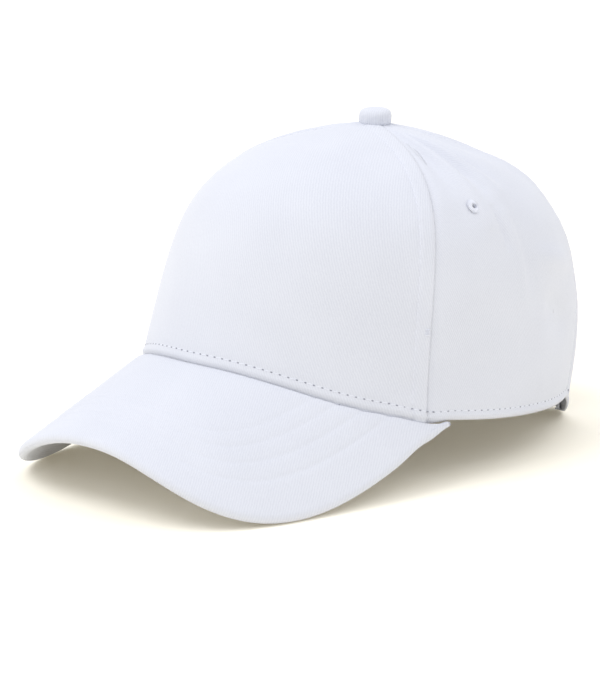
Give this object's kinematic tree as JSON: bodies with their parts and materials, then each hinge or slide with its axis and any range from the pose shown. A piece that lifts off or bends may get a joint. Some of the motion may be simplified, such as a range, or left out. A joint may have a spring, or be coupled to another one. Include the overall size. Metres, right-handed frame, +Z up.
{
  "type": "baseball cap",
  "caption": "Structured five-panel cotton cap with a pre-curved brim, covered top button, stitched vent eyelets, inner sweatband and an adjustable buckled strap over an arched back opening.",
  "frame": {"origin": "on the table, under the middle of the cap's bounding box, as the cap lies when it is put down", "axes": "+Z up, the brim points to -Y, the wearer's left is +X"},
  "size_m": [0.162, 0.2694, 0.1413],
  "materials": {
    "cotton_twill": "matte brushed white cotton twill",
    "buckram": "stiff open-weave backing",
    "cotton_tape": "matte woven tape",
    "sweatband_cotton": "soft matte cotton",
    "embroidery_thread": "slightly glossy stitched thread",
    "polyethylene": "satin sheet",
    "steel": "brushed nickel plate"
  },
  "bodies": {
    "cap": {"front_panel": "cotton_twill", "side_panel_left": "cotton_twill", "side_panel_right": "cotton_twill", "back_panel_left": "cotton_twill", "back_panel_right": "cotton_twill", "front_buckram": "buckram", "seam_tape_front_left": "cotton_tape", "seam_tape_front_right": "cotton_tape", "seam_tape_side_left": "cotton_tape", "seam_tape_side_right": "cotton_tape", "seam_tape_back": "cotton_tape", "sweatband": "sweatband_cotton", "care_label": "cotton_tape", "arch_binding": "cotton_twill", "eyelet_side_left": "embroidery_thread", "eyelet_side_right": "embroidery_thread", "eyelet_back_left": "embroidery_thread", "eyelet_back_right": "embroidery_thread", "button_cover": "cotton_twill", "button_core": "steel", "button_rivet": "steel", "brim_top_cover": "cotton_twill", "brim_board": "polyethylene", "brim_under_cover": "cotton_twill", "buckle_tab": "cotton_twill", "buckle_frame": "steel", "lever_pin": "steel"},
    "strap": {"closure_strap": "cotton_twill"},
    "lever": {"buckle_lever": "steel"}
  },
  "joints": [
    {"name": "strap_adjust", "type": "hinge", "parent": "cap", "child": "strap", "pos_m": [0, 0.061, 0.0125], "axis": [0, 0, 1], "range_deg": [-8, 8]},
    {"name": "lever_flip", "type": "hinge", "parent": "cap", "child": "lever", "pos_m": [0.0076, 0.129, 0.0125], "axis": [0, 0, -1], "range_deg": [0, 100]}
  ]
}
